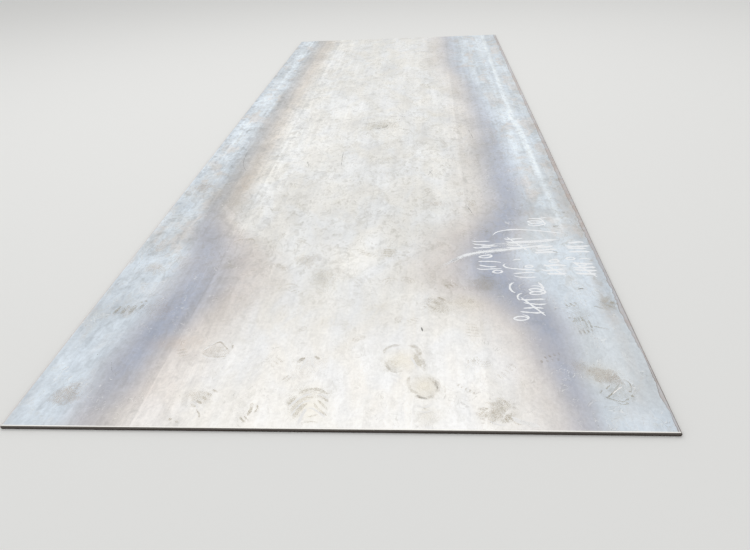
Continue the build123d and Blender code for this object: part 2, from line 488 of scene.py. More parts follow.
# Places lighter or darker than what is round them: x, y, half width, half length, levels out of 255
SHADE_PLACES = (
    (0.64, -2.07, 0.07, 0.08, 4), (0.32, -1.96, 0.03, 0.17, 5), (-0.44, -2.02, 0.02, 0.12, 5),
    (-0.29, -1.92, 0.02, 0.08, 5), (0.40, -2.03, 0.03, 0.05, -5), (0.24, -2.14, 0.12, 0.03, 4),
    (-0.36, -2.13, 0.07, 0.04, -5), (-0.47, -2.12, 0.03, 0.04, 5), (-0.59, -2.14, 0.03, 0.03, -5),
    (0.54, -2.07, 0.02, 0.04, -6), (-0.73, -2.02, 0.03, 0.08, -5), (-0.68, -1.84, 0.04, 0.12, 7),
    (-0.46, -1.83, 0.09, 0.04, 6), (-0.65, -2.04, 0.03, 0.03, 5), (-0.18, -1.69, 0.07, 0.14, -5),
    (0.06, -1.69, 0.07, 0.14, -4), (0.53, -1.68, 0.03, 0.12, -9), (0.60, -1.68, 0.03, 0.14, 7),
    (0.59, -1.42, 0.03, 0.08, 6), (0.30, -1.62, 0.06, 0.08, -4), (0.03, -1.59, 0.03, 0.12, -8),
    (-0.40, -1.59, 0.04, 0.08, -4), (-0.38, -1.69, 0.02, 0.08, -6), (-0.19, -1.48, 0.03, 0.07, -7),
    (-0.03, -1.37, 0.12, 0.14, 10), (-0.39, -1.38, 0.04, 0.20, -14), (0.24, -1.38, 0.10, 0.11, -5),
    (0.66, -1.34, 0.07, 0.14, 7), (-0.47, -1.12, 0.03, 0.10, 6), (-0.47, -1.50, 0.03, 0.14, 6),
    (0.27, -1.19, 0.11, 0.09, -4), (0.59, -1.20, 0.04, 0.09, 6), (0.23, -0.97, 0.09, 0.06, -6),
    (0.29, -0.87, 0.11, 0.07, 6), (0.02, -0.90, 0.04, 0.16, -9), (-0.07, -0.77, 0.03, 0.08, -6),
    (-0.33, -0.97, 0.03, 0.07, 6), (-0.67, -1.07, 0.06, 0.05, 16), (-0.62, -1.24, 0.03, 0.05, 7),
    (-0.26, -1.09, 0.03, 0.06, -8), (0.11, -1.06, 0.06, 0.04, 7), (-0.22, -0.78, 0.12, 0.17, 4),
    (-0.36, -0.72, 0.04, 0.08, 8), (-0.15, -0.77, 0.04, 0.12, 6), (-0.52, -0.80, 0.04, 0.18, -6),
    (0.61, -0.78, 0.04, 0.14, 4), (0.47, -0.92, 0.03, 0.12, 12), (0.55, -0.89, 0.05, 0.13, -10),
    (0.65, -0.88, 0.02, 0.06, -9), (-0.69, -0.94, 0.02, 0.08, -8), (0.09, -0.70, 0.04, 0.10, 7),
    (0.19, -0.48, 0.07, 0.15, 6), (-0.17, -0.48, 0.03, 0.19, -8), (0.01, -0.34, 0.07, 0.12, -7),
    (0.34, -0.29, 0.05, 0.17, 7), (-0.24, -0.20, 0.12, 0.24, 7), (0.21, -0.15, 0.05, 0.17, -8),
    (0.09, -0.08, 0.05, 0.14, 10), (-0.07, -0.11, 0.03, 0.05, -10), (0.59, -0.18, 0.03, 0.22, 9),
    (0.63, 0.24, 0.05, 0.10, 6), (0.67, -0.24, 0.02, 0.26, 15), (0.655, 0.05, 0.02, 0.14, 6),
    (-0.11, 0.04, 0.07, 0.08, -14), (0.29, 0.06, 0.06, 0.10, -7), (0.42, 0.04, 0.04, 0.07, -9),
    (0.43, 0.19, 0.04, 0.11, 14), (0.30, -0.08, 0.04, 0.08, 8), (0.44, -0.42, 0.04, 0.15, -9),
    (-0.62, -0.52, 0.03, 0.17, -4), (-0.735, -0.60, 0.03, 0.50, 10), (-0.72, -0.05, 0.03, 0.22, 8),
    (-0.47, 0.00, 0.03, 0.14, 6), (-0.44, -0.45, 0.03, 0.04, -11), (-0.55, -0.10, 0.02, 0.09, -7),
    (0.72, -0.09, 0.03, 0.08, -8), (-0.20, 0.24, 0.12, 0.16, 6), (-0.45, 0.24, 0.04, 0.11, 8),
    (-0.69, -1.54, 0.03, 0.09, 7), (-0.45, -0.21, 0.05, 0.05, 6),
)


def soft_places(x, y, listed):
    """The sum of round hills, each exp(-r squared) with r measured in the place's own half sizes."""
    total = np.zeros_like(x)
    for at_x, at_y, wide, long, strength in listed:
        total += strength * np.exp(-((x - at_x) / wide) ** 2 - ((y - at_y) / long) ** 2)
    return total


# Finishes

class Wire:
    """A number or colour on its way through a finish. Arithmetic on it adds the Math node for it."""

    def __init__(self, wiring, socket):
        self.wiring = wiring
        self.socket = socket

    def math(self, operation, *terms):
        return self.wiring.add("ShaderNodeMath", {"operation": operation}, dict(enumerate(terms)))

    def __add__(self, other):
        return self.math("ADD", self, other)

    def __sub__(self, other):
        return self.math("SUBTRACT", self, other)

    def __rsub__(self, other):
        return self.math("SUBTRACT", other, self)

    def __mul__(self, other):
        return self.math("MULTIPLY", self, other)

    def __pow__(self, other):
        return self.math("POWER", self, other)

    def __abs__(self):
        return self.math("ABSOLUTE", self)

    def larger(self, other):
        return self.math("MAXIMUM", self, other)

    __radd__ = __add__
    __rmul__ = __mul__


class Wiring:
    """The nodes of a material or of the world, and the wires between them."""

    def __init__(self, tree):
        self.tree = tree

    def feed(self, socket, value):
        if isinstance(value, Wire):
            self.tree.links.new(value.socket, socket)
        elif socket.type == "RGBA" and len(value) == 3:
            socket.default_value = (*value, 1)
        else:
            socket.default_value = value

    def add(self, kind, settings=None, inputs=None, output=0):
        """Adds a node of this kind with its settings, then the values or wires of its sockets."""
        node = self.tree.nodes.new(kind)
        for name, value in (settings or {}).items():
            setattr(node, name, value)
        for name, value in (inputs or {}).items():
            self.feed(node.inputs[name], value)
        return Wire(self, node.outputs[output])


class Finish(Wiring):
    """One material and the nodes that it is made of."""

    def __init__(self, name):
        self.material = bpy.data.materials.new(name)
        self.material.use_nodes = True
        super().__init__(self.material.node_tree)
        self.shader = next(node for node in self.tree.nodes if node.type == "BSDF_PRINCIPLED")

    def surface(self, **inputs):
        """Sets the shader's own sockets; an underscore in a name stands for a space."""
        for name, value in inputs.items():
            self.feed(self.shader.inputs[name.replace("_", " ")], value)
        return self.material

    def here(self):
        return self.add("ShaderNodeTexCoord", output="Object")

    def mark_map(self):
        """The mark's own map, which runs from -1 to 1 over the mark."""
        return self.add("ShaderNodeUVMap", {"uv_map": "mark"})

    def part(self, where, name):
        """One coordinate as a number."""
        return self.add("ShaderNodeSeparateXYZ", inputs={0: where}, output=name)

    def layer(self, name):
        return self.add("ShaderNodeAttribute", {"attribute_name": name}, output="Fac")

    def noise(self, scale, shift, detail, roughness, distortion=0.0):
        placed = {"Vector": self.here(), "Scale": scale, "Location": shift}
        inputs = {
            "Vector": self.add("ShaderNodeMapping", inputs=placed), "Scale": 1.0,
            "Detail": detail, "Roughness": roughness, "Distortion": distortion,
        }
        return self.add("ShaderNodeTexNoise", inputs=inputs)

    def between(self, value, low, high, to_low=0.0, to_high=1.0):
        """A smooth step from to_low at low to to_high at high, level beyond them."""
        inputs = {"Value": value, "From Min": low, "From Max": high, "To Min": to_low, "To Max": to_high}
        return self.add("ShaderNodeMapRange", {"interpolation_type": "SMOOTHSTEP"}, inputs)

    def clouds(self, scale, shift, detail=4.0, roughness=0.6, distortion=0.0, spread=0.18):
        """Noise stretched to run from 0 to 1."""
        raw = self.noise(scale, shift, detail, roughness, distortion)
        return self.between(raw, 0.5 - spread, 0.5 + spread)

    def mix(self, amount, first, second):
        return self.add("ShaderNodeMix", {"data_type": "RGBA"}, {0: amount, 6: first, 7: second}, 2)

    def scaled(self, tone, amount):
        """A colour made lighter or darker by a number."""
        return self.add("ShaderNodeVectorMath", {"operation": "SCALE"}, {"Vector": tone, "Scale": amount})

    def bump(self, height, distance, strength):
        inputs = {"Height": height, "Distance": distance, "Strength": strength}
        return self.add("ShaderNodeBump", inputs=inputs)


# Lengthwise lines that the rolls left, and the bright streak near the right side, each at its nearer
# and its farther end
LEFT_LINE = (-0.4490, -0.4400)
RIGHT_LINE = (0.3602, 0.3662)
STREAK_PLACES = (0.672, 0.650)


def plate_patterns(finish):
    """What the plate's finish is worked out from: place, stored layers, streaks and clouds."""
    here = finish.here()
    wires = {axis.lower(): finish.part(here, axis) for axis in "XYZ"}
    for name in ("side", "dark", "warm", "pale", "shade", "olive", "tan", "film"):
        wires[name] = finish.layer(name)
    return SimpleNamespace(
        **wires,
        hair=finish.noise((300, 2.4, 1), (3, 0, 0), 3, 0.6),
        streak=finish.clouds((60, 1.1, 1), (7, 0, 0)),
        broad=finish.clouds((14, 0.6, 1), (1, 4, 0), 3, 0.5),
        patch=finish.clouds((5.5, 3.2, 1), (0, 2, 0), 4, 0.6, 0.8),
        cloud=finish.clouds((15, 9, 1), (4, 6, 0), 5, 0.62, 1.0),
        blotch=finish.clouds((40, 25, 1), (5, 1, 0), 5, 0.6, 0.8),
        tint=finish.clouds((9, 4, 1), (11, 5, 0), 3, 0.5, 0.8),
        fine=finish.clouds((120, 80, 1), (2, 9, 0), 3, 0.6),
        grain=finish.noise((300, 240, 200), (0, 0, 0), 3, 0.6),
    )


def scale_tone(finish, at, colours):
    """Mill scale across the width: pale middle, warm edge, dark band and blue-grey side, and the streak.
    Their paleness is partly a painted sheen, and the blue-grey side partly a painted sky reflection.
    """
    between, mix = finish.between, finish.mix
    # Painted highlight: the pale middle turns to the palest tone towards the front end
    front = between(at.y + at.patch * 0.2, -1.2, -1.9)
    centre = mix(front, colours.centre, colours.glare_and_pale_wear)
    tinted = between(at.y, -1.6, -0.6, 0.34, 0.30)
    centre = mix(at.tint * tinted, mix((1 - at.tint) * tinted, centre, colours.cool), colours.cream)
    far_left = between(at.x, 0.1, -0.1) * between(at.y, -1.25, -0.8)
    tone = mix(at.warm * (0.72 + at.cloud * 0.28), centre, mix(far_left, colours.warm, colours.honey))

    ashen = between(at.y, -1.6, -1.1, 0.15, 0.75) * between(at.y, -1.0, -0.3, 1.0, 0.5)
    near_right = between(at.y, -1.6, -1.85) * between(at.y, -2.12, -2.02) * between(at.x, -0.1, 0.1)
    # The sides: blue-grey scale, partly a painted sky reflection
    flank = mix(at.tint * ashen + near_right * 0.45, colours.side, colours.ash)
    paler = between(at.x, -0.1, 0.1, 0.45, 0.40) * between(at.y, -0.6, 0.2, 0.9, 1.3)
    flank = mix((1 - at.tint) * at.broad * paler, flank, colours.streak)
    warmer = between(at.cloud * 0.35 + at.tint * 0.65, 0.56, 0.85) * between(at.y, -1.7, -1.1, 0.12, 0.46)
    tone = mix(at.side, tone, mix(warmer, flank, colours.warm))

    depth = at.dark * (0.74 + at.cloud * 0.22 + at.blotch * 0.22)
    tone = mix(depth, tone, mix(far_left, colours.lavender, colours.dusk))
    from_streak = at.x - between(at.y, -0.9, 0.3, *STREAK_PLACES) + (at.patch - 0.5) * 0.008
    bright = 1 - between(abs(from_streak), 0.003, 0.024)
    tone = mix(bright * between(at.y, -1.5, -0.7) * (0.7 + at.cloud * 0.3), tone, colours.streak)
    return mix(at.pale * (0.25 + at.cloud * 0.3), tone, mix(at.side, colours.glare_and_pale_wear, colours.streak))


def roll_lines(finish, at):
    """How much lighter the scale is just inside each of the rolls' two lines, and how much darker outside."""
    between = finish.between
    wavy_x = at.x + (at.hair - 0.5) * 0.001
    left_far = wavy_x - between(at.y, -2.1, -1.5, *LEFT_LINE)
    right_far = between(at.y, -1.1, -0.6, *RIGHT_LINE) - wavy_x
    left_line = between(left_far, 0.0012, -0.0012)
    right_line = between(right_far, 0.0012, -0.0012) * between(at.y, -1.75, -1.2, 0.95, 1.0)
    glow = between(left_far, 0.045, 0.0) * (1 - left_line) + between(right_far, 0.040, 0.0) * (1 - right_line)
    darker = left_line * between(at.y, -1.7, -0.7, 0.092, 0.028) + right_line * 0.05
    return glow * 0.02, darker * (1 - at.side)


def scale_light(finish, at):
    """How much lighter or darker the scale is at each spot: broad shade, the lines, streaks and clouds."""
    between = finish.between
    glow, darker = roll_lines(finish, at)
    # Lighter towards the far end, and a painted highlight lightens the front end further
    shade = between(at.y, -1.1, 0.1, 1.0, 1.05) + between(at.y, -1.8, -2.1) * 0.03
    shade = shade + glow + at.shade * (0.75 + at.cloud * 0.4 + at.blotch * 0.4) - darker

    clear = between(at.y, -1.2, 0.0, 1.0, 1.6)
    calm = between(at.y, -1.9, -1.3, 0.75, 1.25)
    lines = (at.hair - 0.5) * 0.09 * at.patch + (at.streak - 0.5) * 0.05
    lines = lines * clear + (at.broad - 0.5) * 0.06
    clouds = ((at.patch - 0.5) * 0.075 + (at.cloud - 0.5) * 0.08) * calm + (at.blotch - 0.5) * 0.095 * clear
    spots = ((at.fine - 0.5) * 0.07 + (at.grain - 0.5) * 0.12) * clear * between(at.y, -1.9, -1.3, 1.2, 0.85)
    left = between(at.x, -0.25, -0.40)
    uneven = 1 + at.side * between(at.y, -1.5, -1.0, 0.1, 0.6) + left * 0.75
    return shade + (lines + clouds) * uneven + spots


def dusty_tone(finish, at, olive, tone, colours):
    """Yard dust over the scale: a broken film everywhere, and heavier places."""
    between, mix = finish.between, finish.mix
    film = between(at.cloud * 0.45 + at.blotch * 0.35 + (1 - at.patch) * 0.35, 0.62, 0.98)
    tone = mix(film * 0.13, tone, colours.grime)
    tone = mix(olive * 0.22, tone, colours.dust)
    tan = between(at.tan * (0.55 + at.blotch * 0.7), 0.12, 1.0)
    tone = mix(tan * 0.26, tone, colours.tan)
    return mix(at.film * 0.4, tone, colours.film)


def scuffed_tone(finish, at, tone, colours):
    """Thin curved scuffs, some dark and some pale, smudges, and dark specks."""
    between, mix = finish.between, finish.mix
    whorl = finish.noise((30, 23, 1), (8, 3, 0), 2, 0.5, 1.8)
    where = between(at.cloud, 0.45, 0.95)
    dark_scuff = (1 - between(abs(whorl - 0.5), 0.004, 0.018)) * where
    pale_scuff = (1 - between(abs(whorl - 0.53), 0.004, 0.016)) * where
    trodden = between(at.y, -1.9, -1.3)
    stain = finish.clouds((26, 15, 1), (2, 7, 0), 6, 0.68, 1.6)
    smudge = between(at.blotch * 0.6 + at.cloud * 0.4, 0.66, 0.80) * (0.06 + trodden * 0.12)
    smudge = smudge + between(stain, 0.66, 0.86) * trodden * 0.20
    tone = mix((dark_scuff * (0.28 + trodden * 0.10)).larger(smudge), tone, colours.grime)
    tone = mix(pale_scuff * 0.45, tone, colours.glare_and_pale_wear)
    speck = finish.noise((75, 60, 60), (9, 9, 0), 2, 0.5)
    return mix(between(speck, 0.79, 0.85) * 0.8, tone, colours.speck)


def rusty_tone(finish, at, tone, colours):
    """A rusty strip along the right edge, with a thin dark line where it starts, and a warm left edge."""
    between, mix = finish.between, finish.mix
    margin = half_width - at.x
    wander = finish.clouds((1, 5, 1), (2, 2, 0), 7, 0.72)
    strip = between(at.y + wander * 0.5, -2.0, -0.5, 0.0045, 0.0120) + wander * 0.0075
    rusty = between(margin - strip, 0.001, -0.001)
    dimmer = between(margin, 0.06, 0.016) * between(abs(at.y + 0.9), 1.0, 0.5, 0.06, 0.13)
    tone = mix(rusty * (0.25 + at.blotch * 0.35), finish.scaled(tone, 1 - dimmer), colours.rust)
    bound = 1 - between(abs(margin - strip), 0.0003, 0.0017)
    tone = mix(bound * (0.25 + at.cloud * 0.4), tone, colours.line)
    return rusty, mix(between(at.x + half_width, 0.0065, 0.0045) * 0.7, tone, colours.warm)


def edge_tone(finish, at, tone, colours, form):
    """Rolled edges, with a painted shadow line on the right; the sheared ends with their land and break,
    partly painted shade; and a painted highlight on the rim above each end.
    """
    between, mix = finish.between, finish.mix
    # The rolled edge's scale and rust; on the right it reaches 1.2 mm further in as a painted shadow line
    # along that edge
    nose = between(half_width - abs(at.x) - between(at.x, -0.1, 0.1) * 0.0012, 0.0026, 0.0014)
    tone = mix(nose, tone, finish.scaled(colours.edge, 0.75 + at.blotch * 0.5))
    thickness = plate_thickness - form.coat
    end = between(abs(at.y), half_length - 0.00085, half_length - 0.00055)
    rear = between(at.y, -0.1, 0.1)
    height = at.z * (1 - rear) + (thickness - at.z) * rear
    foot = thickness - form.rollover_height - form.land_height
    tooth = finish.noise((900, 1, 120), (0, 3, 0), 4, 0.65)
    wiped = between(height + (tooth - 0.5) * 0.0012, foot - 0.0003, foot + 0.0003)
    # Land and break tones, partly painted shade
    sheared = finish.scaled(mix(wiped, colours.tear, colours.land), 0.65 + tooth * 0.7)
    # Painted highlight on the rolled-over rim above each end
    rim = between(half_length - abs(at.y), 0.0045, 0.0025) * (1 - end) * between(at.z, foot, foot + 0.002)
    return end * tooth, mix(rim * (1 - nose), mix(end, tone, sheared), colours.arris_highlight)


def plate_finish(colours, form):
    """Mill scale in bands, rolling streaks, clouds of dust, rust at the right edge, and bare sheared ends,
    with a painted sheen and painted highlights on the scale and painted shade on the ends and the right edge.
    """
    finish = Finish("mill_scale")
    at = plate_patterns(finish)
    olive = finish.between(at.olive * (0.5 + at.blotch * 0.8), 0.15, 1.0)
    tone = finish.scaled(scale_tone(finish, at, colours), scale_light(finish, at))
    tone = dusty_tone(finish, at, olive, tone, colours)
    tone = scuffed_tone(finish, at, tone, colours)
    rusty, tone = rusty_tone(finish, at, tone, colours)
    torn, tone = edge_tone(finish, at, tone, colours, form)
    rough = 0.42 + (at.cloud - 0.5) * 0.06 + (at.streak - 0.5) * 0.05 + olive * 0.18 + rusty * 0.25
    relief = at.hair * 0.35 + at.grain * 0.45 + at.fine * 0.1 + torn * 3
    return finish.surface(
        Base_Color=tone, Roughness=rough, Metallic=0.25, Specular_IOR_Level=0.35,
        Normal=finish.bump(relief, 0.00022, 0.6),
    )


# Dust patches

# x, y, half width, half length, turn in degrees, cover, brownness
DUST_PATCHES = (
    (-0.648, -2.036, 0.034, 0.036, 0, 0.25, 1.0), (-0.550, -1.663, 0.040, 0.046, 45, 0.10, 1.0),
    (-0.326, -1.862, 0.028, 0.024, 0, 0.15, 0.2), (-0.322, -2.040, 0.030, 0.028, 10, 0.16, 0.3),
    (-0.050, -2.020, 0.038, 0.018, 0, 0.10, 0.0), (-0.090, -2.070, 0.014, 0.034, 20, 0.08, 0.0),
    (-0.075, -1.935, 0.040, 0.048, 0, 0.06, 0.3), (0.150, -1.908, 0.038, 0.038, 20, 0.08, 0.0),
    (0.128, -1.924, 0.022, 0.026, 30, 0.18, 0.0), (0.196, -1.902, 0.009, 0.026, 20, 0.26, 0.0),
    (0.213, -2.004, 0.032, 0.040, 25, 0.12, 0.0), (0.236, -1.988, 0.012, 0.026, 30, 0.14, 0.0),
    (0.205, -2.036, 0.020, 0.010, 0, 0.12, 0.0), (0.371, -2.090, 0.032, 0.030, 30, 0.28, 0.2),
    (0.391, -2.060, 0.018, 0.022, 30, 0.20, 0.0), (0.636, -1.954, 0.024, 0.044, 65, 0.22, 0.8),
    (0.655, -1.966, 0.016, 0.018, 35, 0.30, 1.0), (0.588, -1.924, 0.024, 0.028, 60, 0.10, 0.4),
    (0.656, -2.016, 0.034, 0.032, 35, 0.13, 0.2), (-0.640, -1.668, 0.044, 0.030, 0, 0.12, 1.0),
    (0.630, -1.715, 0.030, 0.070, 0, 0.09, 0.4), (0.716, -1.648, 0.024, 0.030, 20, 0.12, 0.4),
    (0.255, -1.650, 0.045, 0.035, -20, 0.15, 0.1), (-0.090, -1.500, 0.036, 0.070, 8, 0.13, 0.0),
    (0.390, -1.538, 0.044, 0.042, 0, 0.14, 0.1), (-0.160, -1.385, 0.036, 0.046, 20, 0.14, 0.5),
    (0.100, -1.335, 0.036, 0.036, 0, 0.10, 0.3), (-0.655, -1.430, 0.040, 0.026, -20, 0.10, 0.8),
    (-0.690, -1.300, 0.046, 0.060, 30, 0.07, 0.8), (-0.690, -0.760, 0.044, 0.034, 0, 0.12, 0.9),
    (0.256, -0.960, 0.034, 0.024, -15, 0.09, 1.0), (0.005, -0.020, 0.075, 0.060, 20, 0.11, 0.0),
    (-0.440, -0.430, 0.040, 0.020, 0, 0.13, 0.1), (0.220, -2.100, 0.030, 0.030, 0, 0.08, 0.0),
    (0.330, -1.640, 0.040, 0.040, 0, 0.07, 0.0),
)

# A patch's disc reaches this many of its half sizes, so that its ragged bound has room
PATCH_REACH = 1.4

# How high the first patch lies and how much higher each next one, as shares of the mark coat
FIRST_LIFT, NEXT_LIFT = 0.2, 0.004


def disc(rings=7, spokes=36):
    """A round disc of radius 1: its points' places across and along, its outer quads and middle faces."""
    reach = np.linspace(0, 1, rings + 1)[1:, None]
    bearing = np.linspace(0, 2 * np.pi, spokes, endpoint=False)[None, :]
    u = np.concatenate([[0], (reach * np.cos(bearing)).ravel()])
    v = np.concatenate([[0], (reach * np.sin(bearing)).ravel()])
    spoke = np.arange(spokes)
    after = (spoke + 1) % spokes
    inner = np.arange(rings - 1)[:, None] * spokes + 1
    outer = inner + spokes
    quads = np.stack([inner + spoke, outer + spoke, outer + after, inner + after], -1).reshape(-1, 4)
    middle = np.stack([np.zeros(spokes, int), 1 + spoke, 1 + after], 1)
    return u, v, quads, middle


def dust_discs(form):
    """A stretched and turned disc on the top face for each patch, each a little higher than the last."""
    u, v, quads, middle = disc()
    points, faces = [], []
    for number, (at_x, at_y, wide, long, turn, _, _) in enumerate(DUST_PATCHES):
        x, y = swung(at_x, at_y, u * wide * PATCH_REACH, v * long * PATCH_REACH, turn).T
        x = np.clip(x, SIDE_CLEARANCE - half_width, half_width - SIDE_CLEARANCE)
        y = np.maximum(y, END_CLEARANCE - half_length)
        lift = (FIRST_LIFT + NEXT_LIFT * number) * form.coat
        points.append(np.stack([x, y, face_height(x, y, form) + lift], 1))
        faces += (quads + number * len(u)).tolist() + (middle + number * len(u)).tolist()
    count = len(DUST_PATCHES)
    return np.concatenate(points), faces, np.tile(u, count), np.tile(v, count)


def grains(finish, cover, size, shift=(0, 0, 0)):
    """Alpha of scattered grains, close to 0 or 1 at each spot, so that the share given is covered."""
    grit = finish.clouds((size, size, 1), shift, 3, 0.65, 0.0, 0.17)
    return finish.between(grit + cover, 0.97, 1.03)


def dust_finish(colours):
    """Grains of dust, denser in the middle of each patch, with a ragged bound."""
    finish = Finish("dust")
    where = finish.mark_map()
    u, v = finish.part(where, "X"), finish.part(where, "Y")
    patch = finish.clouds((30, 30, 1), (3, 3, 0), 5, 0.65, 0.8)
    speckle = finish.clouds((110, 110, 1), (6, 1, 0), 3, 0.6, 0.4)
    bound = finish.between((u * u + v * v) ** 0.5 + (patch - 0.5) * 0.75, 0.84, 0.44)
    alpha = grains(finish, finish.layer("cover") * bound * (0.75 + patch * 0.3 + speckle * 0.2), 2200)
    tone = finish.mix(finish.layer("brown"), colours.dust, colours.tan)
    return finish.surface(Base_Color=tone, Alpha=alpha, Roughness=0.85, Specular_IOR_Level=0.1)


# Lines drawn on the plate

# Section of a line's ridge: places across its width, and heights as shares of its full height
RIDGE_PLACES = np.array([-0.5, -0.28, 0.0, 0.28, 0.5])
RIDGE_HEIGHTS = np.array([0.0, 0.75, 1.0, 0.75, 0.0])

# How high the foot of a ridge lies, as a share of the mark coat
RIDGE_LIFT = 0.36

# Distance between the points of a drawn line
LINE_STEP = 0.004


def drawn_line(points):
    """A smooth line through the points: a cubic on each run, leaning at its ends as the chord there does."""
    knots = np.asarray(points, float)
    lean = np.gradient(knots, axis=0)
    run = np.linalg.norm(np.diff(knots, axis=0), axis=1)
    along = np.concatenate([[0], np.cumsum(run)])
    at = np.linspace(0, along[-1], max(int(along[-1] / LINE_STEP), 6))
    i = np.clip(np.searchsorted(along, at, side="right") - 1, 0, len(run) - 1)
    t = ((at - along[i]) / run[i])[:, None]
    start = (2 * t ** 3 - 3 * t ** 2 + 1) * knots[i] + (t ** 3 - 2 * t ** 2 + t) * lean[i]
    return start + (3 * t ** 2 - 2 * t ** 3) * knots[i + 1] + (t ** 3 - t ** 2) * lean[i + 1]


def ridge(line, width, height, form, seed):
    """A low ridge of lens section carried along a line on the face, narrowing to both ends."""
    ahead = np.gradient(line, axis=0)
    ahead /= np.linalg.norm(ahead, axis=1)[:, None]
    right = np.stack([ahead[:, 1], -ahead[:, 0]], 1)
    share = np.linspace(0, 1, len(line))
    taper = np.sqrt(ease(share, -0.02, 0.18) * ease(1 - share, -0.02, 0.18))
    breadth = width * taper * (0.85 + 0.25 * sines(share, 0.5, 0.06, 5, seed))
    aside = RIDGE_PLACES[None, :, None] * breadth[:, None, None]
    flat = line[:, None, :] + right[:, None, :] * aside
    flat[..., 1] = np.maximum(flat[..., 1], END_CLEARANCE - half_length)
    base = face_height(flat[..., 0], flat[..., 1], form) + RIDGE_LIFT * form.coat
    z = base + height * RIDGE_HEIGHTS[None, :] * taper[:, None]
    points = np.concatenate([flat, z[..., None]], -1).reshape(-1, 3)
    return points, grid_faces(len(RIDGE_PLACES), len(line))


def ridges(name, strokes, height, form, finish, seed, broad=1.0):
    """Makes one piece of several ridges, each given by its width, its points and, if not 1, its strength."""
    points, faces, strengths, start = [], [], [], 0
    for number, (width, line, *strength) in enumerate(strokes):
        new_points, new_faces = ridge(drawn_line(line), width * broad, height, form, seed + number)
        faces += (new_faces + start).tolist()
        points.append(new_points)
        strengths.append(np.full(len(new_points), strength[0] if strength else 1.0))
        start += len(new_points)
    piece = new_piece(name, np.concatenate(points), faces, finish)
    write_layer(piece.data, "strength", np.concatenate(strengths))


def arc(x, y, wide, long, start, end, width, turn=0):
    """A stroke along an ellipse, between two bearings in degrees."""
    bearing = np.radians(np.linspace(start, end, 7))
    return width, swung(x, y, wide * np.cos(bearing), long * np.sin(bearing), turn)


def bars(x, y, count, pitch, reach, width, turn, lean=0.0):
    """Short parallel strokes in a row; lean shifts each one along from the last."""
    along = np.linspace(-reach / 2, reach / 2, 3)
    rows = np.arange(count) - (count - 1) / 2
    return [(width, swung(x, y, row * pitch, along + lean * row, turn)) for row in rows]


def dots(size, *spots):
    """Short thick strokes, as a lug leaves them."""
    aside, along = size * 0.4, size * 0.5
    return [(size, [(x - aside, y - along), (x, y), (x + aside, y + along)]) for x, y in spots]


# Dust that soles pressed in or left, by print: the width and points of each stroke
FRONT_PRINT = [
    (0.007, [(-0.099, -2.068), (-0.094, -2.051), (-0.086, -2.034)]),
    (0.007, [(-0.083, -2.029), (-0.067, -2.016), (-0.051, -2.010), (-0.035, -2.014), (-0.013, -2.027)]),
    (0.008, [(-0.090, -2.088), (-0.077, -2.059), (-0.063, -2.044), (-0.045, -2.039)]),
    (0.005, [(-0.037, -2.036), (-0.025, -2.040), (-0.008, -2.055)]),
    (0.008, [(-0.081, -2.113), (-0.075, -2.092), (-0.066, -2.070), (-0.055, -2.062)]),
    (0.005, [(-0.042, -2.060), (-0.025, -2.084), (-0.006, -2.102)]),
    (0.004, [(-0.034, -2.050), (-0.018, -2.068), (-0.006, -2.084)]),
    (0.003, [(-0.053, -2.108), (-0.039, -2.103), (-0.027, -2.098)]),
    (0.003, [(-0.052, -2.124), (-0.038, -2.121), (-0.024, -2.124)]),
]
SOLE_PATCHES = [
    (0.006, [(0.116, -1.905), (0.124, -1.928), (0.137, -1.944), (0.158, -1.944)]),
    (0.003, [(0.184, -1.878), (0.190, -1.886)]), (0.003, [(0.203, -1.912), (0.206, -1.930)]),
    (0.006, [(0.191, -2.018), (0.203, -2.036), (0.221, -2.045)]),
    (0.005, [(0.222, -1.966), (0.236, -1.985), (0.245, -2.008)]),
    (0.003, [(0.258, -1.996), (0.262, -2.010), (0.260, -2.022)]),
    (0.004, [(0.340, -2.093), (0.345, -2.081), (0.357, -2.071)]),
    (0.004, [(0.380, -2.108), (0.387, -2.116), (0.391, -2.121)]),
    (0.004, [(0.388, -2.103), (0.394, -2.113), (0.397, -2.118)]),
    (0.004, [(0.393, -2.092), (0.400, -2.103), (0.403, -2.108)]),
    (0.003, [(0.378, -2.057), (0.387, -2.046), (0.397, -2.051), (0.400, -2.065)]),
    (0.003, [(0.403, -2.100), (0.411, -2.120), (0.423, -2.125)]),
    *dots(0.005, (0.182, -2.010), (0.349, -2.096), (0.387, -2.071), (0.366, -2.089), (0.213, -2.075)),
]
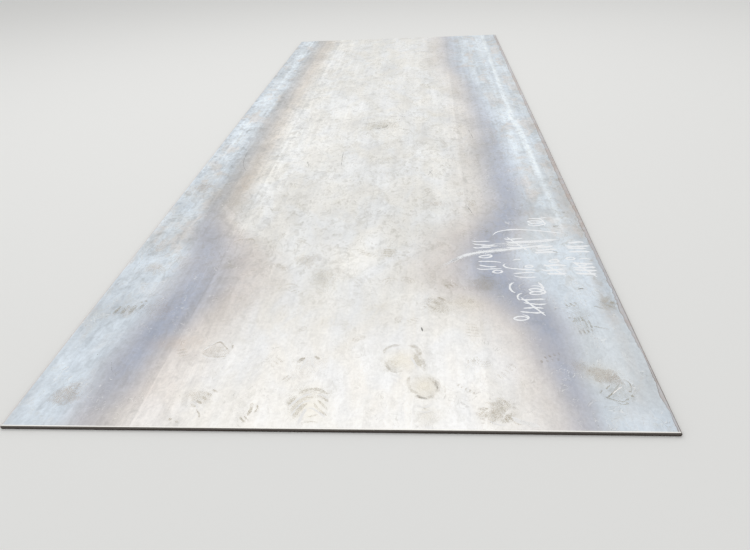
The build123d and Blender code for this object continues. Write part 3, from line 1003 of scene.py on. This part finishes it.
LEFT_PRINTS = [
    (0.007, [(-0.678, -1.689), (-0.674, -1.668), (-0.671, -1.648)]),
    (0.009, [(-0.654, -1.689), (-0.651, -1.665), (-0.649, -1.642)]),
    (0.009, [(-0.631, -1.687), (-0.629, -1.665), (-0.628, -1.643)]),
    (0.007, [(-0.611, -1.664), (-0.608, -1.650), (-0.606, -1.637)]),
    (0.003, [(-0.344, -1.837), (-0.327, -1.824), (-0.311, -1.840), (-0.295, -1.859)]),
    (0.002, [(-0.361, -1.871), (-0.340, -1.885), (-0.313, -1.888), (-0.293, -1.885)]),
    (0.004, [(-0.291, -1.836), (-0.287, -1.844), (-0.289, -1.852)]),
    (0.003, [(-0.312, -2.085), (-0.301, -2.100), (-0.297, -2.113)]),
    (0.006, [(-0.187, -2.060), (-0.184, -2.080), (-0.187, -2.105)]),
    (0.004, [(-0.172, -2.068), (-0.170, -2.082), (-0.174, -2.094)]),
    (0.004, [(-0.204, -2.108), (-0.196, -2.118), (-0.186, -2.126)]),
    (0.003, [(-0.196, -2.104), (-0.189, -2.112), (-0.180, -2.122)]),
    (0.009, [(-0.104, -1.912), (-0.098, -1.900), (-0.088, -1.890)]),
    (0.006, [(-0.066, -1.884), (-0.058, -1.889), (-0.050, -1.898)]),
    *bars(-0.304, -2.046, 5, 0.016, 0.018, 0.0055, 55), *bars(-0.120, -1.972, 2, 0.010, 0.026, 0.003, -35),
    *dots(0.006, (-0.617, -1.627), (-0.606, -1.621), (-0.300, -1.823), (-0.363, -2.118), (-0.345, -2.126)),
]
RIGHT_PRINTS = [
    (0.003, [(0.626, -2.035), (0.644, -2.015), (0.663, -1.988)]),
    (0.0025, [(0.619, -2.031), (0.643, -2.045), (0.659, -2.048), (0.668, -2.040), (0.675, -2.034)]),
    (0.002, [(0.644, -2.051), (0.654, -2.058), (0.665, -2.055)]),
    (0.002, [(0.677, -1.970), (0.687, -1.982), (0.687, -2.003), (0.680, -2.017)]),
    (0.003, [(0.642, -1.991), (0.636, -1.998), (0.629, -2.006)]),
    (0.003, [(0.621, -2.009), (0.616, -2.015), (0.612, -2.021)]),
    (0.004, [(0.705, -1.647), (0.720, -1.660), (0.735, -1.677)]),
    (0.004, [(0.676, -1.658), (0.688, -1.664), (0.699, -1.671)]),
    (0.006, [(0.727, -1.637), (0.730, -1.641), (0.733, -1.646)]),
    (0.003, [(0.655, -1.753), (0.670, -1.761), (0.694, -1.768)]),
    (0.005, [(0.652, -1.571), (0.660, -1.567), (0.668, -1.568)]),
    (0.006, [(0.648, -1.166), (0.656, -1.163), (0.664, -1.165)]),
    *dots(0.005, (0.651, -2.046), (0.668, -2.041), (0.681, -2.014), (0.682, -2.029), (0.665, -2.054)),
    *dots(0.005, (0.612, -1.334), (0.628, -1.349)), *bars(0.617, -1.648, 3, 0.014, 0.014, 0.004, 20),
    *dots(0.004, (0.603, -1.665), (0.612, -1.658), (0.624, -1.657), (0.636, -1.653)),
    *bars(0.624, -1.722, 3, 0.009, 0.022, 0.005, 6), *dots(0.006, (0.602, -1.715), (0.609, -1.731)),
    *bars(0.644, -1.745, 2, 0.010, 0.036, 0.004, 4), *bars(0.632, -1.778, 4, 0.011, 0.017, 0.0035, 12),
    *bars(0.528, -1.880, 4, 0.013, 0.010, 0.004, 25), *bars(0.520, -1.900, 4, 0.014, 0.010, 0.004, 10),
]
FAR_PRINTS = [
    *bars(0.248, -1.640, 3, 0.026, 0.030, 0.007, 50, 0.004), *bars(0.220, -1.655, 2, 0.012, 0.012, 0.005, 40),
    *bars(0.100, -1.340, 4, 0.014, 0.040, 0.004, 78), *bars(0.292, -1.545, 3, 0.014, 0.026, 0.005, 30),
    *bars(0.310, -2.008, 5, 0.011, 0.008, 0.0035, -38), arc(0.112, -1.530, 0.026, 0.030, 30, 170, 0.004),
    arc(0.112, -1.530, 0.014, 0.017, 40, 200, 0.003), arc(-0.395, -1.270, 0.045, 0.040, 40, 160, 0.004),
    arc(-0.190, -1.560, 0.030, 0.030, 30, 190, 0.004), arc(-0.010, -0.020, 0.060, 0.055, 100, 170, 0.008),
]

# Dusty rims of the two front prints right of the middle: width, points and strength
RIM_LINES = [
    (0.007, [(0.110, -1.872), (0.116, -1.852), (0.132, -1.840), (0.152, -1.836)], 0.46),
    (0.010, [(0.170, -1.838), (0.188, -1.844), (0.198, -1.860), (0.203, -1.880)], 0.46),
    (0.006, [(0.203, -1.884), (0.210, -1.902), (0.214, -1.924), (0.212, -1.944)], 0.40),
    (0.006, [(0.178, -1.962), (0.174, -1.980), (0.178, -2.002), (0.188, -2.022)], 0.34),
    (0.007, [(0.192, -2.030), (0.206, -2.040), (0.224, -2.038), (0.238, -2.024)], 0.34),
    (0.008, [(0.238, -1.978), (0.246, -1.992), (0.246, -2.008), (0.240, -2.020)], 0.36),
]

# All the print lines, each group with its own strength
PRINT_LINES = [
    (width, line, strength)
    for strength, prints in (
        (0.44, FRONT_PRINT), (0.4, SOLE_PATCHES), (0.60, RIGHT_PRINTS), (0.58, LEFT_PRINTS),
        (0.45, FAR_PRINTS),
    )
    for width, line in prints
] + RIM_LINES

# Lines where a sole took the dust away
CLEARED_LINES = [
    (0.004, [(-0.099, -2.074), (-0.080, -2.047), (-0.065, -2.033), (-0.048, -2.027)]),
    (0.003, [(-0.036, -2.030), (-0.022, -2.034), (-0.008, -2.043)]),
    (0.003, [(-0.088, -2.104), (-0.079, -2.078), (-0.066, -2.058), (-0.050, -2.051)]),
    (0.006, [(-0.067, -2.130), (-0.063, -2.103), (-0.056, -2.079)]),
    (0.003, [(-0.054, -2.077), (-0.041, -2.079), (-0.020, -2.096), (-0.008, -2.108)]),
    (0.004, [(0.180, -1.888), (0.191, -1.915), (0.200, -1.940)]),
    (0.003, [(0.128, -1.954), (0.146, -1.960), (0.158, -1.972)]),
    (0.003, [(0.132, -1.966), (0.142, -1.974), (0.148, -1.984)]),
    (0.003, [(0.195, -2.062), (0.212, -2.072), (0.232, -2.060)]),
    (0.003, [(0.202, -2.084), (0.216, -2.088), (0.232, -2.080)]),
    (0.003, [(-0.364, -1.866), (-0.342, -1.830), (-0.327, -1.817), (-0.309, -1.830)]),
    (0.003, [(-0.362, -1.878), (-0.338, -1.893), (-0.300, -1.893)]),
    (0.003, [(-0.338, -2.065), (-0.322, -2.060), (-0.310, -2.083)]),
    (0.010, [(0.404, -2.100), (0.418, -2.113), (0.440, -2.122), (0.462, -2.130)]),
    (0.003, [(0.352, -2.112), (0.372, -2.125), (0.392, -2.127)]),
    (0.003, [(0.640, -2.022), (0.654, -2.008), (0.668, -1.996)]),
    (0.004, [(-0.084, -1.890), (-0.088, -1.915), (-0.094, -1.940)]),
    (0.003, [(-0.074, -1.890), (-0.066, -1.915), (-0.056, -1.930)]),
]


def old_prints(count, seed):
    """Faint prints over the middle of the plate: nested arcs or rows of bars, each turned its own way."""
    draw = np.random.default_rng(seed)
    strokes = []
    for _ in range(count):
        x, y = draw.uniform(-0.42, 0.42), draw.uniform(-2.0, 2.0)
        turn, size = draw.uniform(0, 360), draw.uniform(0.022, 0.042)
        if draw.random() < 0.5:
            half_span = draw.uniform(50, 130) / 2
            for wide in (size * 1.0, size * 0.78, size * 0.56):
                strokes.append(arc(x, y, wide, wide * 1.2, 90 - half_span, 90 + half_span, 0.0036, turn))
        else:
            strokes += bars(x, y, int(draw.integers(3, 6)), 0.013, size * 0.9, 0.0045, turn, 0.003)
    return strokes


# Rows of tally strokes: x, y of the first stroke, strokes, crossed, stroke width
TALLY_ROWS = (
    (0.410, -1.450, 3, False, 0.0060), (0.405, -1.310, 3, False, 0.0060),
    (0.512, -1.688, 4, True, 0.0060), (0.515, -1.500, 3, False, 0.0060), (0.512, -1.318, 4, True, 0.0060),
    (0.604, -1.478, 3, True, 0.0094), (0.598, -1.352, 3, False, 0.0094),
    (0.692, -1.486, 4, True, 0.0094), (0.698, -1.348, 4, False, 0.0094),
)

# Distance from one tally stroke to the next, and the usual length of a stroke
TALLY_PITCH, TALLY_REACH = 0.021, 0.064

# Loops between the rows: x, y, turns, pitch, half width and half height of a turn
LOOPS = (
    (0.474, -1.722, 1.2, 0.010, 0.018, 0.012), (0.535, -1.598, 2.4, 0.016, 0.020, 0.012),
    (0.434, -1.470, 1.1, 0.006, 0.013, 0.010), (0.405, -1.378, 1.3, 0.010, 0.018, 0.010),
    (0.532, -1.438, 1.1, 0.004, 0.011, 0.008), (0.612, -1.408, 1.2, 0.006, 0.013, 0.010),
    (0.664, -1.392, 1.1, 0.004, 0.012, 0.009), (0.690, -1.430, 1.1, 0.004, 0.013, 0.009),
)

# Bows: x, y, half width, half length, first and last bearing, stroke width
BOWS = (
    (0.480, -1.560, 0.020, 0.030, 100, 250, 0.0055), (0.490, -1.612, 0.014, 0.020, 80, 230, 0.005),
    (0.505, -1.430, 0.050, 0.022, 150, 260, 0.0055), (0.705, -1.402, 0.018, 0.012, 20, 150, 0.005),
)

# Two dashes, and the long arc behind the rows
DASHES = (
    (0.0055, [(0.486, -1.398), (0.500, -1.392), (0.512, -1.395)]),
    (0.0065, [(0.545, -1.530), (0.552, -1.548), (0.556, -1.566)]),
    (0.0065, [
        (0.439, -1.227), (0.456, -1.203), (0.490, -1.189), (0.530, -1.186), (0.600, -1.199), (0.672, -1.219),
    ]),
)

# The loop and the dash beyond the arc
FAR_LOOP = (0.596, -1.160, 2.4, 0.020, 0.026, 0.014)
FAR_DASH = (0.005, [(0.572, -1.100), (0.600, -1.104), (0.638, -1.096)])


def tally(x, y, count, crossed, width, draw):
    """Strokes in a row along y, each with its own reach, bow, lean and hook, and one stroke through them."""
    strokes = []
    for number in range(count):
        left_off, right_off, bow, lean, hook, shift = draw.uniform(-1, 1, 6)
        at = y + number * TALLY_PITCH + 0.003 * shift
        left = x - TALLY_REACH * (0.5 + 0.14 * left_off)
        right = x + TALLY_REACH * (0.5 + 0.14 * right_off)
        bow, lean = 0.006 * bow, 0.004 * lean
        points = [
            (left, at + lean + 0.007 * abs(hook)),
            (0.8 * left + 0.2 * right, at + lean + bow * 0.5),
            (0.35 * left + 0.65 * right, at - lean * 0.3 + bow),
            (right, at - lean),
        ]
        strokes.append((width + 0.0008 * hook, points))
    if crossed:
        first, last = y - 0.8 * TALLY_PITCH, y + (count - 0.4) * TALLY_PITCH
        middle = (x + 0.002, (y + last) / 2 - 0.01)
        strokes.append((0.006, [(x + TALLY_REACH * 0.44, first), middle, (x - TALLY_REACH * 0.42, last)]))
    return strokes


def coil(x, y, turns, pitch, reach, height):
    """One stroke that loops round and round as it goes along y."""
    turn = np.linspace(0, turns, int(turns * 9))
    bearing = 2 * np.pi * turn
    across = x + reach * np.cos(bearing) * (1 + 0.15 * np.sin(2.3 * bearing))
    return 0.0055, np.stack([across, y + pitch * turn + height * np.sin(bearing)], 1)


def chalk_lines():
    """The tally rows, loops, bows and dashes, and what lies beyond the arc."""
    draw = np.random.default_rng(5)
    strokes = []
    for row in TALLY_ROWS:
        strokes += tally(*row, draw)
    strokes += [coil(*loop) for loop in LOOPS]
    strokes += [arc(*bow) for bow in BOWS]
    return strokes + [*DASHES, coil(*FAR_LOOP), FAR_DASH]


# Middle of the two swipes where a hand rubbed the chalk
SWIPES = (
    (
        (0.272, -1.428), (0.303, -1.395), (0.334, -1.368), (0.375, -1.347), (0.440, -1.332), (0.520, -1.318),
        (0.590, -1.302),
    ),
    ((0.400, -1.300), (0.470, -1.296), (0.540, -1.285), (0.610, -1.273), (0.660, -1.266)),
)


def rubbed_lines(count, spread, seed):
    """Strands along each swipe: each is a stretch of it, moved sideways by its own amount."""
    draw = np.random.default_rng(seed)
    strands = []
    for swipe in SWIPES:
        path = drawn_line(swipe)
        for number in range(count):
            first = int(len(path) * draw.uniform(0.0, 0.35))
            last = int(len(path) * draw.uniform(0.65, 1.0))
            aside = spread * ((number + 0.5) / count - 0.5) + draw.uniform(-0.001, 0.001)
            stretch = path[first:last:8] + np.array([0.3, 1.0]) * aside
            strands.append((draw.uniform(0.004, 0.008) * (1.3 - 1.4 * abs(aside) / spread), stretch))
    return strands


# The thickest chalk in the swipes: width, points and, if not 1, strength
SWIPE_CORES = (
    (0.016, [(0.262, -1.440), (0.290, -1.408), (0.318, -1.382), (0.350, -1.361)], 0.18),
    (0.009, [(0.292, -1.400), (0.316, -1.382), (0.345, -1.364)], 0.35),
    (0.013, [(0.322, -1.376), (0.350, -1.358), (0.390, -1.343), (0.440, -1.334)]),
    (0.010, [(0.360, -1.353), (0.420, -1.338), (0.480, -1.328), (0.530, -1.319)]),
    (0.010, [(0.470, -1.326), (0.520, -1.316), (0.560, -1.309), (0.605, -1.298)]),
    (0.006, [(0.395, -1.304), (0.420, -1.303), (0.448, -1.303)]),
    (0.009, [(0.480, -1.284), (0.520, -1.281), (0.570, -1.277), (0.640, -1.267)]),
    (0.007, [(0.510, -1.272), (0.560, -1.270), (0.610, -1.263), (0.650, -1.262)]),
)

# Scratches and dark scuffs: width, points and, if not 1, strength
SCRATCHES = (
    (0.0024, [(-0.297, -0.495), (-0.290, -0.530), (-0.282, -0.560)]),
    (0.0016, [(-0.598, -0.330), (-0.592, -0.440), (-0.575, -0.530), (-0.545, -0.600)]),
    (0.0016, [(0.247, -0.625), (0.236, -0.655), (0.226, -0.690)]),
    (0.0014, [(0.233, -0.640), (0.240, -0.665), (0.250, -0.690)]),
    (0.0020, [(0.365, -0.985), (0.378, -1.030), (0.388, -1.075)]),
    (0.0020, [(-0.590, -1.905), (-0.578, -1.935), (-0.566, -1.955)], 0.5),
    (0.0045, [(0.205, -1.758), (0.207, -1.768), (0.208, -1.776)]),
    (0.0016, [(0.420, -0.100), (0.428, -0.170), (0.437, -0.250)]),
    (0.0016, [(-0.150, -0.380), (-0.148, -0.460), (-0.142, -0.560)]),
    (0.0050, [(0.608, -1.352), (0.619, -1.345), (0.630, -1.344)], 0.6),
    (0.0045, [(0.650, -1.571), (0.660, -1.566), (0.670, -1.568)], 0.5),
    (0.0055, [(0.648, -1.167), (0.659, -1.163), (0.669, -1.166)], 0.6),
    (0.0060, [(0.690, -1.627), (0.699, -1.634), (0.708, -1.645)], 0.4),
    (0.0050, [(0.692, -1.050), (0.700, -1.054), (0.708, -1.057)], 0.5),
    (0.0120, [(0.040, 0.130), (0.056, 0.127), (0.072, 0.128)], 0.4),
    (0.0120, [(0.088, 0.122), (0.104, 0.118), (0.118, 0.114)], 0.4),
    (0.0120, [(0.062, 0.026), (0.079, 0.024), (0.098, 0.030)], 0.35),
    (0.0090, [(-0.042, -0.066), (-0.005, -0.067), (0.022, -0.046), (0.032, -0.015)], 0.45),
    (0.0140, [(-0.098, 0.020), (-0.080, 0.020), (-0.064, 0.016)], 0.25),
    (0.0140, [(-0.192, 0.084), (-0.178, 0.088), (-0.164, 0.086)], 0.25),
)


def line_finish(name, tone, cover, size, roughness=0.85, specular=0.1):
    """Dust or chalk in grains, or a scratch, broken up where it missed the hollows of the scale."""
    finish = Finish(name)
    patch = finish.clouds((45, 45, 1), (2, 2, 0), 3, 0.6)
    alpha = grains(finish, finish.layer("strength") * cover * (0.55 + patch * 0.75), size, (1, 1, 0))
    return finish.surface(Base_Color=tone, Alpha=alpha, Roughness=roughness, Specular_IOR_Level=specular)


# Operators, one for each piece or group of like pieces and one for the stage

# Layers of the plate that soft places fill, each from 0 to 1
SOFT_LAYERS = {"olive": OLIVE_PLACES, "tan": TAN_PLACES, "pale": PALE_PLACES, "film": FILM_PLACES}


class PLATE_OT_surface(bpy.types.Operator):
    """Builds the rolled and sheared surface of the plate, with its scale, dust and rust"""

    bl_idname = "steel_plate.surface"
    bl_label = "Plate surface"

    def execute(self, context):
        form, colours = context.scene.plate_form, context.scene.plate_colours
        points, faces = plate_shell(form)
        plate = new_piece("rolled_plate", points, faces, plate_finish(colours, form), weld=True)
        exact = places(plate.data)
        write_places(plate.data, weather_shell(exact, form))
        x, y, z = exact.T
        on_top = ease(z, plate_thickness * 0.45, plate_thickness * 0.55)
        for name, values in zip(("side", "dark", "warm"), scale_bands(x, y)):
            write_layer(plate.data, name, values)
        for name, listed in SOFT_LAYERS.items():
            write_layer(plate.data, name, np.clip(soft_places(x, y, listed), 0, 1) * on_top)
        write_layer(plate.data, "shade", soft_places(x, y, SHADE_PLACES) * LEVEL * on_top)
        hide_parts("plate")
        return {"FINISHED"}


class PLATE_OT_dust(bpy.types.Operator):
    """Lays patches of dust on the top face"""

    bl_idname = "steel_plate.dust"
    bl_label = "Dust patches"

    def execute(self, context):
        form, colours = context.scene.plate_form, context.scene.plate_colours
        points, faces, u, v = dust_discs(form)
        piece = new_piece("dust_patches", points, faces, dust_finish(colours))
        write_map(piece.data, u, v)
        *_, covers, browns = zip(*DUST_PATCHES)
        each = len(points) // len(DUST_PATCHES)
        write_layer(piece.data, "cover", np.repeat(covers, each))
        write_layer(piece.data, "brown", np.repeat(browns, each))
        return {"FINISHED"}


class PLATE_OT_prints(bpy.types.Operator):
    """Draws the lines of shoe prints, and the scratches"""

    bl_idname = "steel_plate.prints"
    bl_label = "Prints and scratches"

    def execute(self, context):
        form, colours = context.scene.plate_form, context.scene.plate_colours
        drawn = (
            ("old_prints", old_prints(90, 12), 1.5, line_finish("old_print", colours.lug, 0.15, 1300)),
            ("print_lines", PRINT_LINES, 1.5, line_finish("print", colours.lug, 0.50, 1300)),
            ("cleared_lines", CLEARED_LINES, 1.5, line_finish("cleared", colours.glare_and_pale_wear, 1.0, 500)),
            ("scratches", SCRATCHES, 1.0, line_finish("scratch", colours.scratch, 0.65, 650, 0.6)),
        )
        for number, (name, strokes, broad, finish) in enumerate(drawn):
            height = 0.00002 + 0.00001 * number
            ridges(name, strokes, height, form, finish, 100 * number, broad)
        return {"FINISHED"}


class PLATE_OT_chalk(bpy.types.Operator):
    """Draws chalk tally strokes and the place where a hand rubbed them"""

    bl_idname = "steel_plate.chalk"
    bl_label = "Chalk marks"

    def execute(self, context):
        form, tone = context.scene.plate_form, context.scene.plate_colours.chalk
        chalk = line_finish("chalk", tone, 2.0, 330, 0.7, 0.6)
        rubbed = line_finish("rubbed_chalk", tone, 0.50, 1000, 0.7, 0.6)
        smeared = line_finish("smeared_chalk", tone, 1.4, 520, 0.7, 0.6)
        ridges("chalk_strokes", chalk_lines(), 0.00008, form, chalk, 900, 1.22)
        ridges("chalk_rubbed", rubbed_lines(10, 0.027, 8), 0.00005, form, rubbed, 950)
        ridges("chalk_smeared", SWIPE_CORES, 0.00007, form, smeared, 990)
        return {"FINISHED"}


# Camera: its place in metres and its turns, set to look at the plate as the picture does
CAMERA_PLACE = (0.2238, -3.2066, 1.0271)
CAMERA_TILT_DOWN = math.radians(30.416)
CAMERA_ROLL = math.radians(-3.179)
CAMERA_TURN = math.radians(5.333)
CAMERA_LENS = 31.63

# Kinds of light ray that see the plain background, not the light from all round
PLAIN_RAYS = ("Is Camera Ray", "Is Glossy Ray", "Is Transmission Ray")


class PLATE_OT_stage(bpy.types.Operator):
    """Makes the pale floor, the soft light and the camera"""

    bl_idname = "steel_plate.stage"
    bl_label = "Stage"

    def execute(self, context):
        settings = context.scene.plate_stage
        self.make_floor(settings)
        self.make_world(settings)
        self.make_lamp("overhead_soft_box", settings.lamp, (5.0, 8.0), (-0.8, 0.0, 5.0), (0, 0, 0))
        self.make_lamp("far_soft_box", settings.glow, (4.0, 2.2), (0.3, 2.6, 3.4), (0.15, -1.7, 0))
        self.make_camera()
        return {"FINISHED"}

    @staticmethod
    def make_floor(settings):
        """A wide floor, a little below the plate so that the two don't flicker into each other."""
        reach, height, cells = 40.0, -0.0004, 9
        x, y = np.meshgrid(np.linspace(-reach, reach, cells), np.linspace(-reach, reach, cells))
        points = np.stack([x, y, np.full_like(x, height)], -1).reshape(-1, 3)
        mesh = bpy.data.meshes.new("floor")
        mesh.from_pydata(points, [], grid_faces(cells, cells).tolist())
        floor = bpy.data.objects.new("floor", mesh)
        bpy.context.scene.collection.objects.link(floor)
        pale = Finish("pale_floor").surface(Base_Color=settings.floor, Roughness=0.9, Specular_IOR_Level=0.1)
        mesh.materials.append(pale)

    @staticmethod
    def make_world(settings):
        """Even light from all round, which the camera and reflections see as a plain pale background."""
        world = bpy.data.worlds.new("studio")
        world.use_nodes = True
        sky = Wiring(world.node_tree)
        sky.tree.nodes.clear()
        camera, glossy, through = (sky.add("ShaderNodeLightPath", output=name) for name in PLAIN_RAYS)
        lit = sky.add("ShaderNodeBackground", inputs={"Color": (1, 1, 1), "Strength": settings.world})
        seen = sky.add("ShaderNodeBackground", inputs={"Color": settings.floor, "Strength": 1.0})
        plain = camera.larger(glossy).larger(through)
        mixed = sky.add("ShaderNodeMixShader", inputs={0: plain, 1: lit, 2: seen})
        sky.feed(sky.tree.nodes.new("ShaderNodeOutputWorld").inputs["Surface"], mixed)
        bpy.context.scene.world = world
        bpy.context.scene.view_settings.view_transform = "Standard"

    @staticmethod
    def make_lamp(name, power, size, place, target):
        """A soft box of this power in watts, at a place and turned to face the target."""
        lamp = bpy.data.lights.new(name, "AREA")
        lamp.shape = "RECTANGLE"
        lamp.size, lamp.size_y = size
        lamp.energy = power
        holder = bpy.data.objects.new(name, lamp)
        away = Vector(place) - Vector(target)
        holder.location = place
        holder.rotation_euler = away.to_track_quat("Z", "Y").to_euler()
        bpy.context.scene.collection.objects.link(holder)

    @staticmethod
    def make_camera():
        """Looks along -Z of its own axes: turned about the vertical, tilted down, then rolled."""
        lens = bpy.data.cameras.new("camera")
        lens.lens, lens.sensor_width, lens.sensor_fit = CAMERA_LENS, 36.0, "HORIZONTAL"
        lens.clip_start, lens.clip_end = 0.05, 200.0
        camera = bpy.data.objects.new("camera", lens)
        turned = Matrix.Rotation(CAMERA_TURN, 4, "Z")
        tilted = Matrix.Rotation(math.pi / 2 - CAMERA_TILT_DOWN, 4, "X")
        rolled = Matrix.Rotation(CAMERA_ROLL, 4, "Z")
        camera.matrix_world = Matrix.Translation(CAMERA_PLACE) @ turned @ tilted @ rolled
        bpy.context.scene.collection.objects.link(camera)
        bpy.context.scene.camera = camera


class PLATE_PT_panel(bpy.types.Panel):
    """Lists the steps that build the plate"""

    bl_idname = "PLATE_PT_panel"
    bl_label = "Steel plate"
    bl_space_type = "VIEW_3D"
    bl_region_type = "UI"
    bl_category = "Steel plate"

    def draw(self, context):
        for operator in OPERATORS:
            self.layout.operator(operator.bl_idname)
        for group in (context.scene.plate_form, context.scene.plate_colours, context.scene.plate_stage):
            box = self.layout.box()
            for name in group.__annotations__:
                box.prop(group, name)


GROUPS = {"plate_form": PlateForm, "plate_colours": PlateColours, "plate_stage": StageSettings}
OPERATORS = (PLATE_OT_stage, PLATE_OT_surface, PLATE_OT_dust, PLATE_OT_prints, PLATE_OT_chalk)


def register():
    for made in (*GROUPS.values(), *OPERATORS, PLATE_PT_panel):
        bpy.utils.register_class(made)
    for name, group in GROUPS.items():
        setattr(bpy.types.Scene, name, PointerProperty(type=group))


def unregister():
    for name in GROUPS:
        delattr(bpy.types.Scene, name)
    for made in reversed((*GROUPS.values(), *OPERATORS, PLATE_PT_panel)):
        bpy.utils.unregister_class(made)


def main():
    register()
    bpy.ops.steel_plate.stage()
    bpy.ops.steel_plate.surface()
    bpy.ops.steel_plate.dust()
    bpy.ops.steel_plate.prints()
    bpy.ops.steel_plate.chalk()


if __name__ == "__main__":
    main()
